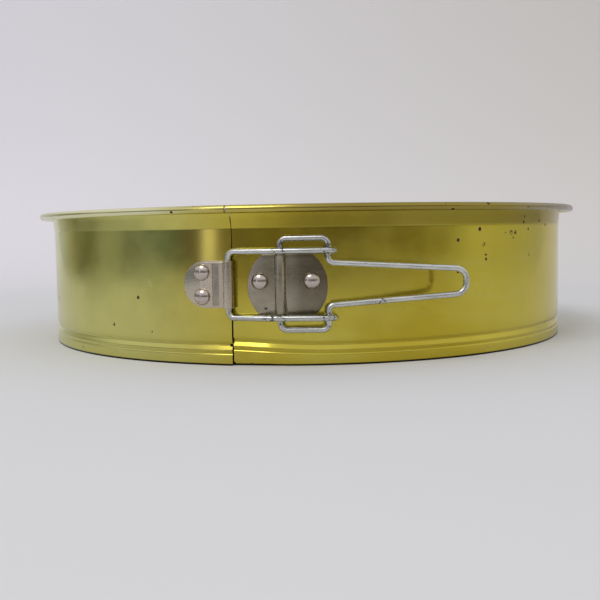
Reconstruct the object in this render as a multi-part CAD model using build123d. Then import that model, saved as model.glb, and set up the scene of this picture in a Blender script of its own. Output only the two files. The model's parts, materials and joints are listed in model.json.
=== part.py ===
"""Springform cake pan: a split ring of thin sheet with a wired rim, round a loose base, closed by a lever latch.

Millimetres, +Z up. The origin is on the pan's axis at table level, and the latch's lever turns at -Y.
A plan angle is measured from -Y towards +X, and an arc is a distance along the wall from the lever's pivot.
The sprung ring is made as two stiff halves that part at the front seam and turn on each other at the back.
"""

import os
from math import asin, cos, degrees, radians, sin, sqrt

from build123d import *

# --- Ring ---
PAN_R = 130.0  # outside of the wall
PAN_H = 62.6
SHEET = 0.4
RIM_REACH = 6.7  # how far the rolled rim stands out past the wall
RIM_ROLL_R = 1.6  # outside of the rolled edge
ROLL_EDGE_GAP = 0.09  # sheet's free edge, rolled back up, to the rim above it
NECK_H = 9.0  # top stretch of wall that flares into the rim
NECK_FLARE = 0.75
NECK_CORNER_R = 1.5
NECK_EASE_R = 6.0  # bend from the wall into the flare
SKIRT_H = 4.2  # plain stretch under the ridge
CREASE = 0.35
CREASE_RISE = 0.55  # crease above the skirt
RIDGE = 0.25
RIDGE_RISE = 1.8  # ridge above the skirt
GROOVE = 0.9  # depth of the inward groove that stops the base rising
GROOVE_RISE = 3.95  # groove above the skirt
GROOVE_LEAD = 1.35  # the upper slope of the groove
FOOT_BEND_R = 0.6
RIDGE_BEND_R = 0.8
HEM_H = 3.0
SEAM_ARC = -19.1  # front ends of the two halves
TONGUE_ARC = -27.2  # how far the right half reaches on behind the left one
LAP_GAP = 0.25  # between the overlapping sheets
SEAM_GAP = 0.15  # between ends that meet
TONGUE_ROOT = 1.0  # degrees that the tongue runs into its own half
WIRE_GAP = 0.05  # rim wire in its roll

# --- Base ---
BASE_SHEET = 0.6
BASE_H = 5.2
BASE_CORNER_R = 1.5
BASE_GAP = 0.3  # base to hem
PANEL_STEP = 0.8  # how far the middle of the base is pressed down
PANEL_MARGIN = 12.0  # width of the raised border

# --- Latch plates ---
LATCH_BELOW_RIM = 30.6  # latch's middle, under the top of the rim
PLATE = 0.8
LAY_GAP = 0.02  # plate to wall
LEVER_PLATE_R = 15.6
LEVER_PLATE_HALF_H = 12.25
LEVER_PLATE_ARC = 2.6
LEVER_PLATE_DROP = 0.8  # disc's centre, under the latch's middle
KNUCKLE_HALF_H = 11.3
HINGE_ARC = -20.0  # bail's leg in its barrel
HINGE_PLATE_END_ARC = -39.4
HINGE_PLATE_HALF_H = 9.25
HINGE_LAYER = 0.7
LAYER_STEP = 0.45  # lower layer shows this much round the upper one
BARREL_WALL = 0.77
PANEL_ARC = -25.6
PANEL_W = 2.6
PANEL_END = 0.9  # panel to the plate's top and bottom edges
PANEL_DEPTH = 0.3

# --- Rivets ---
SHANK_R = 1.6
HEAD_R = 3.35
HEAD_H = 2.1
TAIL_R = 2.4
TAIL_H = 0.7
HOLE_GAP = 0.05
HOLE_CUT_H = 20.0  # drill's length, right through both layers
LEVER_RIVET_ARCS = {"left": -8.0, "right": 12.0}
LEVER_RIVET_RISE = 1.1
HINGE_RIVET_ARC = -31.0
HINGE_RIVET_RISES = {"upper": 4.8, "lower": -4.8}

# --- Wire parts ---
WIRE_R = 1.2
BORE_GAP = 0.08
EYE_WALL_GAP = 0.5  # outside of the bail's eyes to the wall
CRANK = 18.64  # pivot to the bail's eyes
LEVER_HALF_H = 17.6
LEVER_BEND_R = 2.7
HANDLE_HALF_H = 8.2
HANDLE_END_HALF_H = 4.75
HANDLE_BEND_R = 2.2
HANDLE_NOSE_R = 4.4
HANDLE_TURN = 9.5  # degrees that the handle is bent in towards the wall
LEVER_LENGTH = 72.6
END_GAP = 0.4  # between the lever wire's two ends, inside the knuckle
BAIL_HALF_H = 12.85
BAIL_BEND_R = 2.5
BAIL_END_GAP = 0.25  # barrel to the bail's bent legs
PIN_END_GAP = 0.1
LEG_RUN_ARC = -4.0  # where the bail's legs have risen clear of the knuckle
EYE_GAP = 0.1
EYE_WRAP = 215.0
EYE_BEND_R = 6.0

# --- Worked out from the above ---
ROLL_BORE_R = RIM_ROLL_R - SHEET
ROLL_Z = PAN_H - RIM_ROLL_R
ROLL_EDGE_Z = PAN_H - 3 * SHEET - ROLL_EDGE_GAP
RIM_WRAP = 270 + degrees(asin((ROLL_EDGE_Z - ROLL_Z) / ROLL_BORE_R))  # degrees that the sheet goes round the wire
NECK_Z = PAN_H - NECK_H
GROOVE_Z = SKIRT_H + GROOVE_RISE
LAP = SHEET + LAP_GAP  # left half's overhang at the seam
LEFT_R_EXTRA = LAP / 2  # left half is larger by this, and shifted as far forward
LATCH_Z = PAN_H - LATCH_BELOW_RIM
EYE_R = 2 * WIRE_R + EYE_GAP  # centre of the bail's eye wire, from the lever's wire
EYE_AXIS_R = PAN_R + EYE_WALL_GAP + WIRE_R + EYE_R
PIVOT_R = sqrt(EYE_AXIS_R**2 - CRANK**2)
BORE_R = WIRE_R + BORE_GAP
KNUCKLE_R = BORE_R + PLATE
LEFT_FACE_R = PAN_R + LAP  # outside of the left half near the seam
BARREL_R = BORE_R + BARREL_WALL
HINGE_R = LEFT_FACE_R + LAY_GAP + BARREL_R
BASE_R = PAN_R - 2 * SHEET - BASE_GAP
FAR = 400.0  # longer than the pan


def plan_angle(arc):
    """Degrees round the pan of an arc along the wall."""
    return degrees(arc / PAN_R)


def out_from_axis(radius, angle, z=0.0):
    return Vector(radius * sin(radians(angle)), -radius * cos(radians(angle)), z)


def face_plane(radius, angle, z):
    """A plane that lies against the wall: x along the wall, y up, z outward."""
    along = Vector(cos(radians(angle)), sin(radians(angle)), 0)
    return Plane(out_from_axis(radius, angle, z), x_dir=along, z_dir=out_from_axis(1, angle))


def latch_point(x, out, z=0.0):
    """A point given from the lever's pivot: x to the right, out from the pan, z from the latch's middle."""
    return Vector(x, -PIVOT_R - out, LATCH_Z + z)


def bent_wire(points, bends, radius):
    """Round wire along straight runs joined by tangent arcs."""
    path = FilletPolyline(*points, radius=bends)
    section = Plane(path @ 0, z_dir=path % 0) * Circle(radius)
    return sweep(section, path=path)


# --- Ring ---


def sheet_profile(radius, top):
    """The wall's section, in x and z. The line is the wall's outside, and the sheet lies inside it."""
    wall = [
        (radius, 0),
        (radius, SKIRT_H),
        (radius - CREASE, SKIRT_H + CREASE_RISE),
        (radius + RIDGE, SKIRT_H + RIDGE_RISE),
        (radius - GROOVE, GROOVE_Z),
        (radius, GROOVE_Z + GROOVE_LEAD),
    ]
    corners = [FOOT_BEND_R] * 2 + [RIDGE_BEND_R] * 3
    if top == "rolled":
        roll_x = radius + RIM_REACH - RIM_ROLL_R
        under_rim = PAN_H - SHEET
        neck = [(radius, NECK_Z), (radius + NECK_FLARE, under_rim), (roll_x, under_rim)]
        line = FilletPolyline(*wall, *neck, radius=[*corners, NECK_EASE_R, NECK_CORNER_R])
        roll = CenterArc((roll_x, ROLL_Z), ROLL_BORE_R, 90, -RIM_WRAP)
        edges = line.edges() + roll.edges()
    else:
        edges = FilletPolyline(*wall, (radius, top), radius=corners).edges()
    section = Face(Wire(edges).offset_2d(SHEET, side=Side.LEFT, closed=True))
    return Plane.XZ * section


def hem_profile(radius):
    """The bottom edge, folded up flat inside the wall."""
    fold = Pos(radius - 1.5 * SHEET, HEM_H / 2) * Rectangle(SHEET, HEM_H)
    return Plane.XZ * fold


def swept_round(face, start, end, centre_y=0.0):
    """Revolves a section from one plan angle to another about an upright axis."""
    axis = Axis((0, centre_y, 0), (0, 0, 1))
    at_start = Pos(0, centre_y, 0) * Rot(0, 0, start - 90) * face
    return revolve(at_start, axis, end - start)


def rim_wire(radius, start, end, centre_y=0.0):
    roll_x = radius + RIM_REACH - RIM_ROLL_R
    section = Plane.XZ * (Pos(roll_x, ROLL_Z) * Circle(ROLL_BORE_R - WIRE_GAP))
    return swept_round(section, start, end, centre_y)


SEAM = plan_angle(SEAM_ARC)
TONGUE = plan_angle(TONGUE_ARC)
HALF_GAP = degrees(SEAM_GAP / 2 / PAN_R)
RIGHT_SPAN = SEAM + HALF_GAP, 180 - HALF_GAP
LEFT_SPAN = 180 + HALF_GAP, 360 + SEAM - HALF_GAP


def band_right_half():
    """The half that carries the lever. Below its rim it reaches on behind the other half as a plain tongue."""
    start, end = RIGHT_SPAN
    wall = swept_round(sheet_profile(PAN_R, "rolled"), start, end)
    hem = swept_round(hem_profile(PAN_R), start, end)
    tongue = swept_round(sheet_profile(PAN_R, NECK_Z), TONGUE, start + TONGUE_ROOT)
    return wall + hem + tongue - [rivet_hole(p) for p in lever_rivet_planes().values()]


def band_left_half():
    """The half that carries the hinge plate. Its hem stops short of the other half's tongue."""
    radius, centre_y = PAN_R + LEFT_R_EXTRA, -LEFT_R_EXTRA
    start, end = LEFT_SPAN
    wall = swept_round(sheet_profile(radius, "rolled"), start, end, centre_y)
    hem = swept_round(hem_profile(radius), start, 360 + TONGUE - HALF_GAP, centre_y)
    return wall + hem - [rivet_hole(p) for p in hinge_rivet_planes().values()]


def base_plate():
    """A shallow lid turned upside down: a pressed floor with a flange round it that stands on the table."""
    border = BASE_R - PANEL_MARGIN
    line = FilletPolyline(
        (BASE_R, 0),
        (BASE_R, BASE_H),
        (border, BASE_H),
        (border - PANEL_STEP, BASE_H - PANEL_STEP),
        (0, BASE_H - PANEL_STEP),
        radius=[BASE_CORNER_R, BASE_CORNER_R, BASE_CORNER_R],
    )
    section = Face(Wire(line.edges()).offset_2d(BASE_SHEET, side=Side.LEFT, closed=True))
    return revolve(Plane.XZ * section, Axis.Z)


# --- Latch plates ---


def curved_layer(outline, angle, inner_r, thickness, centre_y=0.0):
    """A flat outline cut from sheet that is curved to the wall."""
    middle = Pos(0, centre_y, LATCH_Z)
    shell = middle * (Cylinder(inner_r + thickness, PAN_H) - Cylinder(inner_r, 2 * PAN_H))
    blank = face_plane(inner_r / 2, angle, LATCH_Z) * extrude(outline, inner_r)
    return blank & shell


def rivet_hole(plane):
    return plane * Cylinder(SHANK_R + HOLE_GAP, HOLE_CUT_H)


def rivet_plane(arc, rise, radius):
    return face_plane(radius, plan_angle(arc), LATCH_Z + rise)


def lever_rivet_planes():
    outside = PAN_R + LAY_GAP + PLATE
    return {name: rivet_plane(arc, LEVER_RIVET_RISE, outside) for name, arc in LEVER_RIVET_ARCS.items()}


def hinge_rivet_planes():
    outside = LEFT_FACE_R + LAY_GAP + 2 * HINGE_LAYER
    return {name: rivet_plane(HINGE_RIVET_ARC, rise, outside) for name, rise in HINGE_RIVET_RISES.items()}


def lever_plate():
    """A round plate with its top and bottom cut flat, and an upright knuckle pressed up in it for the lever's wire."""
    disc = Pos(0, -LEVER_PLATE_DROP) * (Circle(LEVER_PLATE_R) & Rectangle(FAR, 2 * LEVER_PLATE_HALF_H))
    plate = curved_layer(disc, plan_angle(LEVER_PLATE_ARC), PAN_R + LAY_GAP, PLATE)
    feet_depth = PIVOT_R - PAN_R - LAY_GAP
    feet = Pos(0, -PIVOT_R + feet_depth / 2, LATCH_Z) * Box(2 * KNUCKLE_R, feet_depth, 2 * KNUCKLE_HALF_H)
    barrel = Pos(0, -PIVOT_R, LATCH_Z) * Cylinder(KNUCKLE_R, 2 * KNUCKLE_HALF_H)
    bore = Pos(0, -PIVOT_R, LATCH_Z) * Cylinder(BORE_R, FAR)
    wall = Pos(0, 0, LATCH_Z) * Cylinder(PAN_R + LAY_GAP, FAR)
    holes = [rivet_hole(p) for p in lever_rivet_planes().values()]
    return plate + (feet - wall) + barrel - bore - holes


def hinge_outline(step):
    """A plate with one end fully round, seen from outside. The other end runs into the barrel."""
    half_h = HINGE_PLATE_HALF_H - step
    middle = (HINGE_PLATE_END_ARC + HINGE_ARC) / 2
    nose = HINGE_PLATE_END_ARC - middle + HINGE_PLATE_HALF_H
    end = HINGE_ARC - middle
    return Pos(nose, 0) * Circle(half_h) + Pos((nose + end) / 2, 0) * Rectangle(end - nose, 2 * half_h)


def hinge_plate():
    """One strip folded round the bail's leg and back on itself, so it is two layers and a barrel."""
    angle = plan_angle((HINGE_PLATE_END_ARC + HINGE_ARC) / 2)
    centre_y = -LEFT_R_EXTRA
    inside = PAN_R + LEFT_R_EXTRA + LAY_GAP
    lower = curved_layer(hinge_outline(0), angle, inside, HINGE_LAYER, centre_y)
    upper = curved_layer(hinge_outline(LAYER_STEP), angle, inside + HINGE_LAYER, HINGE_LAYER, centre_y)
    panel_plane = face_plane(inside + 2 * HINGE_LAYER - PANEL_DEPTH, plan_angle(PANEL_ARC), LATCH_Z)
    panel = panel_plane * extrude(Rectangle(PANEL_W, 2 * (HINGE_PLATE_HALF_H - PANEL_END)), BARREL_R)
    axis = out_from_axis(HINGE_R, plan_angle(HINGE_ARC), LATCH_Z)
    barrel = Pos(axis) * Cylinder(BARREL_R, 2 * HINGE_PLATE_HALF_H)
    bore = Pos(axis) * Cylinder(BORE_R, FAR)
    holes = [rivet_hole(p) for p in hinge_rivet_planes().values()]
    return lower + upper - panel + barrel - bore - holes


def rivet(plane, grip):
    """A domed head outside, and a low tail inside. The plane is under the head."""
    dome_r = (HEAD_R**2 + HEAD_H**2) / (2 * HEAD_H)
    dome = Pos(0, 0, HEAD_H - dome_r) * Sphere(dome_r) & Pos(0, 0, HEAD_H / 2) * Cylinder(HEAD_R, HEAD_H)
    shank = Pos(0, 0, -grip / 2) * Cylinder(SHANK_R, grip)
    tail = Pos(0, 0, -grip - TAIL_H / 2) * Cylinder(TAIL_R, TAIL_H)
    tail = fillet(tail.edges().group_by(Axis.Z)[0], TAIL_H / 2)
    return plane * (dome + shank + tail)


# --- Wire parts ---


def lever():
    """One closed loop of wire: a pin split inside the knuckle, two cranks, and a long narrow handle bent inward."""
    along = cos(radians(HANDLE_TURN)), -sin(radians(HANDLE_TURN))
    reach = (LEVER_LENGTH - WIRE_R - CRANK) / along[0]

    def handle_point(distance, z):
        return latch_point(CRANK + distance * along[0], distance * along[1], z)

    points = [
        latch_point(0, 0, END_GAP / 2),
        latch_point(0, 0, LEVER_HALF_H),
        latch_point(CRANK, 0, LEVER_HALF_H),
        handle_point(0, HANDLE_HALF_H),
        handle_point(reach, HANDLE_END_HALF_H),
        handle_point(reach, -HANDLE_END_HALF_H),
        handle_point(0, -HANDLE_HALF_H),
        latch_point(CRANK, 0, -LEVER_HALF_H),
        latch_point(0, 0, -LEVER_HALF_H),
        latch_point(0, 0, -END_GAP / 2),
    ]
    half = [LEVER_BEND_R, LEVER_BEND_R, HANDLE_BEND_R, HANDLE_NOSE_R]
    return bent_wire(points, [*half, *reversed(half)], WIRE_R)


def hinge_xy():
    """The bail's hinge from the lever's pivot: x to the right, and out."""
    at = out_from_axis(HINGE_R, plan_angle(HINGE_ARC))
    return at.X, -at.Y - PIVOT_R


def bail_leg(side):
    """One leg: a short bent end by the barrel, over the knuckle, and an open eye round the lever's wire."""
    x, out = hinge_xy()
    z = side * BAIL_HALF_H
    start = side * (HINGE_PLATE_HALF_H + BAIL_END_GAP)
    points = [
        latch_point(x, out, start),
        latch_point(x, out, z),
        latch_point(LEG_RUN_ARC, EYE_R, z),
        latch_point(CRANK, EYE_R, z),
    ]
    straight = FilletPolyline(*points, radius=[BAIL_BEND_R, EYE_BEND_R])
    eye_plane = Plane(latch_point(CRANK, 0, z), x_dir=(1, 0, 0), z_dir=(0, 0, 1))
    eye = eye_plane * CenterArc((0, 0), EYE_R, -90, EYE_WRAP)
    path = Wire(straight.edges() + eye.edges())
    section = Plane(path @ 0, z_dir=path % 0) * Circle(WIRE_R)
    return sweep(section, path=path)


def bail():
    return Compound(children=[bail_leg(1).solid(), bail_leg(-1).solid()])


def bail_pin():
    """The bail's upright leg, in the barrel."""
    at = out_from_axis(HINGE_R, plan_angle(HINGE_ARC), LATCH_Z)
    half = HINGE_PLATE_HALF_H + BAIL_END_GAP - PIN_END_GAP
    return Pos(at) * Cylinder(WIRE_R, 2 * half)


PARTS = {
    "base_plate": base_plate(),
    "band_right_half": band_right_half(),
    "band_left_half": band_left_half(),
    "rim_wire_right": rim_wire(PAN_R, *RIGHT_SPAN),
    "rim_wire_left": rim_wire(PAN_R + LEFT_R_EXTRA, *LEFT_SPAN, -LEFT_R_EXTRA),
    "lever_plate": lever_plate(),
    "hinge_plate": hinge_plate(),
    "lever": lever(),
    "bail": bail(),
    "bail_pin": bail_pin(),
}
for side, plane in lever_rivet_planes().items():
    PARTS[f"lever_rivet_{side}"] = rivet(plane, PLATE + LAY_GAP + SHEET + HOLE_GAP)
for side, plane in hinge_rivet_planes().items():
    PARTS[f"hinge_rivet_{side}"] = rivet(plane, 2 * HINGE_LAYER + LAY_GAP + SHEET + HOLE_GAP)

os.makedirs("parts", exist_ok=True)
for name, shape in PARTS.items():
    export_step(shape, f"parts/{name}.step")
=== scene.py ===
"""Looks of a springform cake pan: gold-lacquered ring and base, and a latch of nickel plates and zinc wire.

Lengths are in metres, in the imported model's frame. A plan angle is in degrees from -Y towards +X.
"""

import json
from math import atan2, ceil, cos, degrees, hypot, pi, radians, sin, tan

import bmesh
import bpy
from mathutils import Matrix, Vector


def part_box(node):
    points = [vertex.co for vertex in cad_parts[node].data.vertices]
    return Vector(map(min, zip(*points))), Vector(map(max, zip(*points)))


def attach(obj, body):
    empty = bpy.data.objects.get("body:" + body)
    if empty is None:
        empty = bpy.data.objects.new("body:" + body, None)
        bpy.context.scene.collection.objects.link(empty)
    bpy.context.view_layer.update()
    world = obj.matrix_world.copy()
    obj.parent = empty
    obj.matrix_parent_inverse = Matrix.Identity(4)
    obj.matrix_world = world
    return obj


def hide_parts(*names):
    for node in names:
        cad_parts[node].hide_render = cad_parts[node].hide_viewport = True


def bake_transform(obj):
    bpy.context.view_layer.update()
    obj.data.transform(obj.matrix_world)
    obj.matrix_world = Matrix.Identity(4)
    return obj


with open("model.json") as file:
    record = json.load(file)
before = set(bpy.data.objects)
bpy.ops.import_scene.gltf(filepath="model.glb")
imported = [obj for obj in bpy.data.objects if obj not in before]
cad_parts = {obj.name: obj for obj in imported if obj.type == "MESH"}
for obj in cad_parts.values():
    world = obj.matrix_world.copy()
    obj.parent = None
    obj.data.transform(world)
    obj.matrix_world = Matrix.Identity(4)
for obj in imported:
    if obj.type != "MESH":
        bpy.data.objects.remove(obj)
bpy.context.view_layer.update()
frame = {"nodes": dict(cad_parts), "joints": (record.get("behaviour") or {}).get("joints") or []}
MM = 0.001
UP = Vector((0, 0, 1))

# --- Sizes read from the frame ---
JOINTS = {joint["name"]: joint for joint in frame["joints"]}
PIVOT = Vector(JOINTS["lever_swing"]["pos_m"])
EYE = Vector(JOINTS["bail_swing"]["pos_m"])
LATCH_Z = PIVOT.z
PIVOT_R = -PIVOT.y
CRANK = EYE.x - PIVOT.x
BAND_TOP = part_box("band_right_half")[1]
PAN_H = BAND_TOP.z
RIM_R = BAND_TOP.x
BASE_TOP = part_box("base_plate")[1]
BASE_R, BASE_H = BASE_TOP.x, BASE_TOP.z
PIN_LOW, PIN_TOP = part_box("bail_pin")
HINGE = (PIN_LOW + PIN_TOP) / 2
WIRE_R = (PIN_TOP.x - PIN_LOW.x) / 2
LEVER_LOW, LEVER_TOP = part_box("lever")
BAIL_LOW, BAIL_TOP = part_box("bail")
HINGE_PLATE_LOW, HINGE_PLATE_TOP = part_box("hinge_plate")

# --- Sheet sizes that a box doesn't show ---
SHEET = 0.4 * MM
RIM_REACH = 6.7 * MM
ROLL_R = 1.6 * MM
WALL_R = RIM_R - RIM_REACH
NECK_Z = PAN_H - 9.0 * MM
SKIRT_H = 4.2 * MM
GROOVE_Z = SKIRT_H + 3.95 * MM
HEM_H = 3.0 * MM
SEAM = degrees(-19.1 * MM / WALL_R)
TONGUE = degrees(-27.2 * MM / WALL_R)
LAP = 0.325 * MM  # left half is larger than the right one by this, and set as far forward
JOIN = 210.0  # where the right half of the ring ends, behind on the left
JOIN_EASE = 25.0
SEAM_GAP = degrees(0.075 * MM / WALL_R)
SEAM_X = WALL_R * sin(radians(SEAM))
HINGE_HALF_H = (HINGE_PLATE_TOP.z - HINGE_PLATE_LOW.z) / 2
PANEL_ARC = -25.6 * MM
PANEL_W = 2.6 * MM


def plan(radius, angle, z=0.0, centre_y=0.0):
    return Vector((radius * sin(radians(angle)), centre_y - radius * cos(radians(angle)), z))


# --- Paths and meshes ---


def rounded(points, radii, turn_step=12.0):
    """A path along straight runs, with an arc of the given radius at each corner."""
    points = [Vector(p) for p in points]
    path = [points[0]]
    for before, corner, after, radius in zip(points, points[1:], points[2:], radii):
        back, on = (before - corner).normalized(), (after - corner).normalized()
        half = back.angle(on) / 2
        centre = corner + (back + on).normalized() * radius / sin(half)
        start = corner + back * radius / tan(half) - centre
        end = corner + on * radius / tan(half) - centre
        steps = max(2, ceil(degrees(pi - 2 * half) / turn_step))
        path += [centre + radius * start.slerp(end, i / steps) for i in range(steps + 1)]
    return path + [points[-1]]


def arc(centre, radius, start, sweep, steps):
    """Points on a circle in the XZ plane, from a start angle in degrees."""
    angles = [radians(start + sweep * i / steps) for i in range(steps + 1)]
    return [Vector(centre) + radius * Vector((cos(a), 0, sin(a))) for a in angles]


def sheet_outline(path, thickness):
    """Closes a path in the XZ plane into a strip of sheet that lies on the path's left."""
    inner = []
    for i, point in enumerate(path):
        along = (path[min(i + 1, len(path) - 1)] - path[max(i - 1, 0)]).normalized()
        inner.append(point + thickness * Vector((-along.z, 0, along.x)))
    return path + inner[::-1]


def loop_of(bm, outline):
    """Adds a closed loop of edges."""
    verts = [bm.verts.new(p) for p in outline]
    edges = [bm.edges.new((a, b)) for a, b in zip(verts, verts[1:] + verts[:1])]
    return verts, edges


def finish_mesh(bm, name, material, smooth_angle=35.0):
    """Makes an object of a closed mesh, with its faces outwards."""
    bmesh.ops.remove_doubles(bm, verts=bm.verts, dist=0.002 * MM)
    bmesh.ops.recalc_face_normals(bm, faces=bm.faces)
    mesh = bpy.data.meshes.new(name)
    for face in bm.faces:
        face.smooth = True
    sharp = radians(smooth_angle)
    for edge in bm.edges:
        edge.smooth = edge.is_manifold and edge.calc_face_angle(pi) < sharp
    bm.to_mesh(mesh)
    bm.free()
    mesh.materials.append(material)
    piece = bpy.data.objects.new(name, mesh)
    bpy.context.scene.collection.objects.link(piece)
    return piece


def lathe(bm, outline, start, end, centre_y=0.0, step=1.0):
    """Spins a closed outline, drawn in x and z, between two plan angles, and closes its ends."""
    turn = Matrix.Translation((0, centre_y, 0)) @ Matrix.Rotation(radians(start - 90), 4, "Z")
    verts, edges = loop_of(bm, [turn @ p for p in outline])
    bmesh.ops.contextual_create(bm, geom=edges)
    spun = bmesh.ops.spin(
        bm,
        geom=verts + edges,
        cent=(0, centre_y, 0),
        axis=(0, 0, 1),
        angle=radians(end - start),
        steps=ceil((end - start) / step),
    )
    last = [e for e in spun["geom_last"] if isinstance(e, bmesh.types.BMEdge)]
    bmesh.ops.contextual_create(bm, geom=last)


def turned(bm, path, steps, matrix=None):
    """Spins an open path, drawn in x and z from pole to pole, all the way round. Returns its vertices."""
    before = set(bm.verts)
    verts = [bm.verts.new(p) for p in path]
    edges = [bm.edges.new(pair) for pair in zip(verts, verts[1:])]
    bmesh.ops.spin(
        bm, geom=verts + edges, cent=(0, 0, 0), axis=(0, 0, 1), angle=2 * pi, steps=steps, use_merge=True
    )
    new = [v for v in bm.verts if v not in before]
    if matrix:
        bmesh.ops.transform(bm, matrix=matrix, verts=new)
    return new


def slab(bm, outline, low, high, bevel_width):
    """Raises a flat outline, drawn in x and y, between two heights, with its upper edge bevelled."""
    verts, edges = loop_of(bm, [Vector((p[0], p[1], low)) for p in outline])
    face = bmesh.ops.contextual_create(bm, geom=edges)["faces"][0]
    raised = bmesh.ops.extrude_face_region(bm, geom=[face], use_keep_orig=True)["geom"]
    tops = [g for g in raised if isinstance(g, bmesh.types.BMVert)]
    bmesh.ops.translate(bm, verts=tops, vec=(0, 0, high - low))
    rim = [g for g in raised if isinstance(g, bmesh.types.BMEdge)]
    bevelled = bmesh.ops.bevel(
        bm, geom=rim, offset=bevel_width, segments=3, profile=0.5, affect="EDGES", material=-1
    )
    return verts + tops + bevelled["verts"]


def strips(bm, spacing):
    """Cuts a mesh into upright strips, so that it can be bent round the wall."""
    xs = [v.co.x for v in bm.verts]
    cut = min(xs) + spacing
    while cut < max(xs):
        geom = list(bm.verts) + list(bm.edges) + list(bm.faces)
        bmesh.ops.bisect_plane(bm, geom=geom, plane_co=(cut, 0, 0), plane_no=(1, 0, 0), dist=0.001 * MM)
        cut += spacing


def wrap(bm, radius, centre_y=0.0):
    """Bends what is drawn flat round the pan: x along the wall from the pivot, y up, z outward."""
    for v in bm.verts:
        v.co = plan(radius + v.co.z, degrees(v.co.x / radius), LATCH_Z + v.co.y, centre_y)


def against_wall(radius, angle, z):
    """The place of something that stands out of the wall along its own Z."""
    out = plan(1, angle)
    along = Vector((-out.y, out.x, 0))
    rotation = Matrix((along, UP, out)).transposed()
    return Matrix.Translation(plan(radius, angle, z)) @ rotation.to_4x4()


def wire(name, paths, material, radius=WIRE_R, end_round=0.3 * MM):
    """Round wire along paths, with its cut ends slightly rounded."""
    curve = bpy.data.curves.new(name, "CURVE")
    curve.dimensions = "3D"
    curve.bevel_depth = radius
    curve.bevel_resolution = 5
    curve.use_fill_caps = True
    for path in paths:
        spline = curve.splines.new("POLY")
        spline.points.add(len(path) - 1)
        for point, place in zip(spline.points, path):
            point.co = (*place, 1)
    holder = bpy.data.objects.new(name, curve)
    mesh = bpy.data.meshes.new_from_object(holder)
    bpy.data.objects.remove(holder)
    bm = bmesh.new()
    bm.from_mesh(mesh)
    bpy.data.meshes.remove(mesh)
    bmesh.ops.remove_doubles(bm, verts=bm.verts, dist=0.002 * MM)
    caps = [f for f in bm.faces if len(f.verts) > 4]
    rims = list({e for f in caps for e in f.edges})
    if rims:
        bmesh.ops.bevel(
            bm, geom=rims, offset=end_round, segments=2, profile=0.5, affect="EDGES", material=-1
        )
    return finish_mesh(bm, name, material, 50)


# --- Shader helpers ---


def put(tree, kind, sockets=(), **settings):
    """Adds a node. sockets maps an input's name or number to a value, or to the output that feeds it."""
    node = tree.nodes.new("ShaderNode" + kind)
    for key, value in settings.items():
        setattr(node, key, value)
    for key, value in dict(sockets).items():
        if isinstance(value, bpy.types.NodeSocket):
            tree.links.new(value, node.inputs[key])
        else:
            node.inputs[key].default_value = value
    return node


def maths(tree, operation, a, b=0.0, clamp=False):
    return put(tree, "Math", {0: a, 1: b}, operation=operation, use_clamp=clamp).outputs[0]


def product(tree, first, *others):
    for other in others:
        first = maths(tree, "MULTIPLY", first, other)
    return first


def blend_colours(tree, factor, a, b):
    node = put(tree, "Mix", data_type="RGBA")
    for index, value in ((0, factor), (6, a), (7, b)):
        if isinstance(value, bpy.types.NodeSocket):
            tree.links.new(value, node.inputs[index])
        else:
            node.inputs[index].default_value = value
    return node.outputs[2]


def ramp(tree, factor, low, high, out_low=0.0, out_high=1.0):
    """A smooth step from low to high."""
    sockets = {"Value": factor, "From Min": low, "From Max": high, "To Min": out_low, "To Max": out_high}
    return put(tree, "MapRange", sockets, interpolation_type="SMOOTHSTEP").outputs[0]


def noise_at(tree, vector, scale, detail=3.0, roughness=0.5):
    sockets = {"Vector": vector, "Scale": scale, "Detail": detail, "Roughness": roughness}
    return put(tree, "TexNoise", sockets).outputs[0]


def new_group(name, inputs, outputs):
    """A shader group with named float, vector or colour sockets."""
    tree = bpy.data.node_groups.new(name, "ShaderNodeTree")
    for socket, kind, value in inputs:
        made = tree.interface.new_socket(socket, in_out="INPUT", socket_type="NodeSocket" + kind)
        if value is not None:
            made.default_value = value
    for socket, kind in outputs:
        tree.interface.new_socket(socket, in_out="OUTPUT", socket_type="NodeSocket" + kind)
    start = tree.nodes.new("NodeGroupInput")
    end = tree.nodes.new("NodeGroupOutput")
    return tree, start.outputs, end.inputs


def use_group(tree, group, sockets):
    node = tree.nodes.new("ShaderNodeGroup")
    node.node_tree = group
    for key, value in sockets.items():
        if isinstance(value, bpy.types.NodeSocket):
            tree.links.new(value, node.inputs[key])
        else:
            node.inputs[key].default_value = value
    return node.outputs


# --- Shader groups ---


def make_chips():
    """Irregular specks, larger or smaller by chance, where the density allows them."""
    tree, given, out = new_group(
        "chips",
        [
            ("Vector", "Vector", None),
            ("Scale", "Float", 300.0),
            ("Size", "Float", 0.2),
            ("Density", "Float", 0.1),
        ],
        [("Mask", "Float")],
    )
    ragged = noise_at(tree, given["Vector"], 2200.0, 2.0)
    cells = put(tree, "TexVoronoi", {"Vector": given["Vector"], "Scale": given["Scale"]})
    chance = put(tree, "SeparateColor", {0: cells.outputs["Color"]}).outputs
    here = maths(tree, "LESS_THAN", chance[0], given["Density"])
    reach = maths(tree, "MULTIPLY", given["Size"], maths(tree, "ADD", chance[1], 0.3))
    distance = maths(tree, "ADD", cells.outputs["Distance"], maths(tree, "MULTIPLY", ragged, 0.16))
    inside = maths(tree, "SUBTRACT", maths(tree, "ADD", reach, 0.08), distance)
    mask = ramp(tree, inside, 0.0, 0.05)
    tree.links.new(maths(tree, "MULTIPLY", mask, here), out["Mask"])
    return tree


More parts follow.
